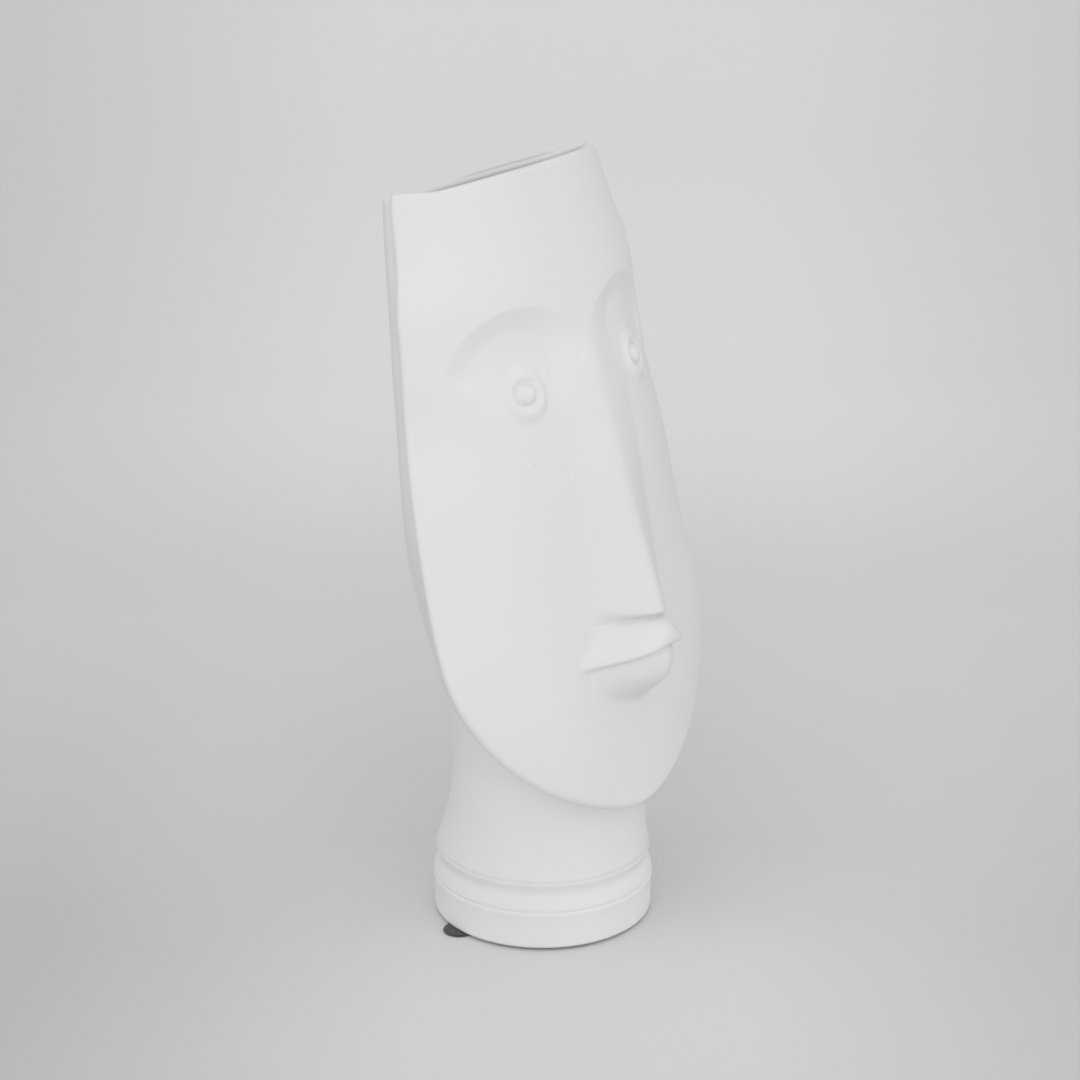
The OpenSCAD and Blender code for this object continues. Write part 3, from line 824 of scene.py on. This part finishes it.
class Nodes:
    """Short calls for building one node material."""

    def __init__(self, name):
        self.material = bpy.data.materials.new(name)
        self.material.use_nodes = True
        self.tree = self.material.node_tree
        self.shader = self.tree.nodes["Principled BSDF"]
        self.where = self.add("ShaderNodeTexCoord").outputs["Object"]

    def add(self, kind, **values):
        node = self.tree.nodes.new(kind)
        for key, value in values.items():
            setattr(node, key, value)
        return node

    def link(self, source, target):
        self.tree.links.new(source, target)

    def noise(self, scale, detail):
        """Even noise of the given fineness, 0 to 1."""
        node = self.add("ShaderNodeTexNoise")
        node.inputs["Scale"].default_value = scale
        node.inputs["Detail"].default_value = detail
        self.link(self.where, node.inputs["Vector"])
        return node.outputs["Fac"]

    def remap(self, value, low, high, to_low, to_high):
        """The value carried from one range to another, and held at the ends."""
        node = self.add("ShaderNodeMapRange", clamp=True)
        self.link(value, node.inputs["Value"])
        node.inputs["From Min"].default_value = low
        node.inputs["From Max"].default_value = high
        node.inputs["To Min"].default_value = to_low
        node.inputs["To Max"].default_value = to_high
        return node.outputs["Result"]

    def fade(self, value, start, end, share=1):
        """Nothing at the start and the given share from the end on."""
        return self.remap(value, start, end, 0, share)

    def multiply(self, a, b):
        node = self.add("ShaderNodeMath", operation="MULTIPLY")
        self.link(a, node.inputs[0])
        self.link(b, node.inputs[1])
        return node.outputs[0]

    def blend(self, factor, a, b):
        """Colour a, turning into colour b as the factor goes to 1."""
        node = self.add("ShaderNodeMix", data_type="RGBA")
        self.link(factor, node.inputs[0])
        for socket, value in ((node.inputs[6], a), (node.inputs[7], b)):
            if isinstance(value, tuple):
                socket.default_value = value
            else:
                self.link(value, socket)
        return node.outputs[2]

    def bump(self, height, strength, distance, normal=None):
        """A bump of the given height in metres, on top of another one if that is given."""
        node = self.add("ShaderNodeBump")
        node.inputs["Strength"].default_value = strength
        node.inputs["Distance"].default_value = distance
        self.link(height, node.inputs["Height"])
        if normal is not None:
            self.link(normal, node.inputs["Normal"])
        return node.outputs["Normal"]


def ceramic_material():
    """Matt white glaze: faintly clouded, with a few pale specks and a soft unevenness."""
    m = Nodes("ceramic_white_matt")
    cloud = m.fade(m.noise(9, 3), 0.35, 0.65)
    base = m.blend(cloud, GLAZE, GLAZE_CLOUD)
    speck = m.add("ShaderNodeTexVoronoi", feature="F1")
    speck.inputs["Scale"].default_value = 70
    m.link(m.where, speck.inputs["Vector"])
    dot = m.remap(speck.outputs["Distance"], 0.014, 0.034, 1, 0)
    base = m.blend(dot, base, SPECK)
    m.link(base, m.shader.inputs["Base Color"])
    rough = m.remap(m.noise(60, 4), 0.3, 0.7, 0.58, 0.7)
    m.link(rough, m.shader.inputs["Roughness"])
    m.shader.inputs["IOR"].default_value = 1.45
    soft = m.bump(m.noise(28, 3), 0.12, 0.0012)
    fine = m.bump(m.noise(900, 3), 0.18, 0.00012, soft)
    m.link(fine, m.shader.inputs["Normal"])
    return m.material


def felt_material():
    """Pressed felt: a fine tangle of darker and lighter fibres."""
    m = Nodes("felt_dark_grey")
    stretched = m.add("ShaderNodeMapping")
    m.link(m.where, stretched.inputs["Vector"])
    stretched.inputs["Scale"].default_value = (1, 1, 3)
    fibre = m.add("ShaderNodeTexNoise")
    fibre.inputs["Scale"].default_value = 2400
    fibre.inputs["Detail"].default_value = 6
    fibre.inputs["Distortion"].default_value = 2.5
    m.link(stretched.outputs["Vector"], fibre.inputs["Vector"])
    tone = m.fade(fibre.outputs["Fac"], 0.35, 0.65)
    m.link(m.blend(tone, FELT_DARK, FELT_LIGHT), m.shader.inputs["Base Color"])
    m.shader.inputs["Roughness"].default_value = 0.95
    m.shader.inputs["Sheen Weight"].default_value = 0.25
    m.shader.inputs["Sheen Roughness"].default_value = 0.6
    m.link(m.bump(fibre.outputs["Fac"], 0.7, 0.0004), m.shader.inputs["Normal"])
    return m.material


def paper_material():
    """Pale seamless paper, with painted shade and painted light laid over it. Where they fall
    changes with the distance in metres from the vase.
    """
    m = Nodes("backdrop_paper")
    parts = m.add("ShaderNodeSeparateXYZ")
    m.link(m.where, parts.inputs["Vector"])
    across = parts.outputs["X"]
    away = parts.outputs["Y"]
    # Painted shade: a darker band across the floor just behind the vase
    behind = m.multiply(m.fade(away, 0.05, 0.32, 0.4), m.fade(away, 0.6, 0.32))
    # Painted light: a lighter band further back, where the floor bends up into the wall
    far = m.multiply(m.fade(away, 0.38, 0.62, 0.9), m.fade(away, 1.0, 0.75))
    # Share of the floor towards the camera, for painted shade in the near corners
    near = m.fade(away, 0.3, -0.02)
    # Painted shadow: a soft dark pool on the floor round and behind the foot of the vase
    foot = m.multiply(m.fade(across, -0.15, -0.05), m.fade(across, 0.18, 0.06))
    foot = m.multiply(foot, m.fade(away, -0.03, 0.06, 0.4))
    foot = m.multiply(foot, m.fade(away, 0.34, 0.14))
    # Painted shade and painted light, each with the share of the paper it covers
    shades = [
        (behind, PAPER_PAINTED_SHADE),
        (far, PAPER_PAINTED_LIGHT),
        # Painted shade: the floor darker towards the camera
        (m.fade(away, 0.02, -0.16, 0.4), PAPER_PAINTED_SHADE),
        # Painted shade: the paper darker towards the left and right sides
        (m.fade(across, -0.12, -0.36, 0.85), PAPER_PAINTED_SHADE),
        (m.fade(across, 0.14, 0.38, 0.75), PAPER_PAINTED_SHADE),
        # Painted shade, deeper in the near left and near right corners
        (m.multiply(m.fade(across, -0.05, -0.2, 0.85), near), PAPER_PAINTED_DEEP_SHADE),
        (m.multiply(m.fade(across, 0.07, 0.2, 0.6), near), PAPER_PAINTED_DEEP_SHADE),
        (foot, PAPER_PAINTED_DEEP_SHADE),
    ]
    tone = m.blend(m.fade(m.noise(1.6, 2), 0.35, 0.65), PAPER, PAPER_CLOUD)
    for share, shade in shades:
        tone = m.blend(share, tone, shade)
    m.link(tone, m.shader.inputs["Base Color"])
    m.shader.inputs["Roughness"].default_value = 0.92
    return m.material


# ---------------------------------------------------------------- stage, camera and light
# In metres. The camera's three directions, its place and its focal length in millimetres
VIEW_RIGHT = Vector((0.616, -0.788, 0))
VIEW_FORWARD = Vector((0.7393, 0.5779, -0.3461))
VIEW_UP = Vector((0.2727, 0.2132, 0.9382))
CAMERA_AT = Vector((-0.9069, -0.6995, 0.5731))
LENS = 110.47

PAPER_NEAR = -2.5
PAPER_BACK = 1.5
PAPER_BEND = 0.8
PAPER_TOP = 3.0
PAPER_HALF_W = 3.5

KEY_AT = (-1.45, -1.75, 0.25)
KEY_SIZE = (2.2, 1.3)
KEY_POWER = 11
MIDDLE = (0, 0, 0.15)
WORLD_LEVEL = 0.95


def build_backdrop():
    """Floor that curves up into a wall behind the vase, square to the camera."""
    start = PAPER_BACK - PAPER_BEND
    profile = [(PAPER_NEAR, 0.0)]
    for a in np.radians(np.arange(0, 91, 5)):
        profile.append((start + PAPER_BEND * math.sin(a), PAPER_BEND - PAPER_BEND * math.cos(a)))
    profile.append((PAPER_BACK, PAPER_TOP))
    bm = bmesh.new()
    rows = []
    for depth, height in profile:
        ends = (-PAPER_HALF_W, PAPER_HALF_W)
        rows.append([bm.verts.new((end, depth, height)) for end in ends])
    for low, high in zip(rows[:-1], rows[1:]):
        bm.faces.new([low[0], low[1], high[1], high[0]])
    for f in bm.faces:
        f.smooth = True
    mesh = bpy.data.meshes.new("backdrop")
    bm.to_mesh(mesh)
    bm.free()
    backdrop = bpy.data.objects.new("backdrop", mesh)
    backdrop.rotation_euler = (0, 0, math.atan2(VIEW_RIGHT.y, VIEW_RIGHT.x))
    bpy.context.scene.collection.objects.link(backdrop)
    backdrop.data.materials.append(paper_material())


def build_camera():
    data = bpy.data.cameras.new("camera")
    data.lens = LENS
    data.sensor_width = 36
    camera = bpy.data.objects.new("camera", data)
    bpy.context.scene.collection.objects.link(camera)
    turn = Matrix((VIEW_RIGHT, VIEW_UP, -VIEW_FORWARD)).transposed()
    camera.matrix_world = Matrix.Translation(CAMERA_AT) @ turn.to_4x4()
    bpy.context.scene.camera = camera


def build_light():
    """One broad lamp in front on the left, and an even white surround."""
    data = bpy.data.lights.new("key", "AREA")
    data.shape = "RECTANGLE"
    data.size, data.size_y = KEY_SIZE
    data.energy = KEY_POWER
    light = bpy.data.objects.new("key", data)
    bpy.context.scene.collection.objects.link(light)
    light.location = KEY_AT
    direction = Vector(MIDDLE) - Vector(KEY_AT)
    light.rotation_euler = direction.to_track_quat("-Z", "Y").to_euler()
    world = bpy.data.worlds.new("studio")
    bpy.context.scene.world = world
    world.use_nodes = True
    background = world.node_tree.nodes["Background"]
    background.inputs["Color"].default_value = (1, 1, 1, 1)
    background.inputs["Strength"].default_value = WORLD_LEVEL


# ---------------------------------------------------------------- the scene
def add_piece(name, mesh, material, node):
    piece = bpy.data.objects.new(name, mesh)
    bpy.context.scene.collection.objects.link(piece)
    piece.data.materials.append(material)
    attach(piece, "root")
    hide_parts(node)


def main():
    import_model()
    build_camera()
    add_piece("vase_body_shell", build_body(), ceramic_material(), "vase_body")
    felt = felt_material()
    for i in range(len(PAD_ANGLES)):
        add_piece(f"felt_pad_{i + 1}_dot", build_pad(i), felt, f"felt_pad_{i + 1}")
    build_backdrop()
    build_light()
    bpy.context.scene.view_settings.view_transform = "Standard"


main()
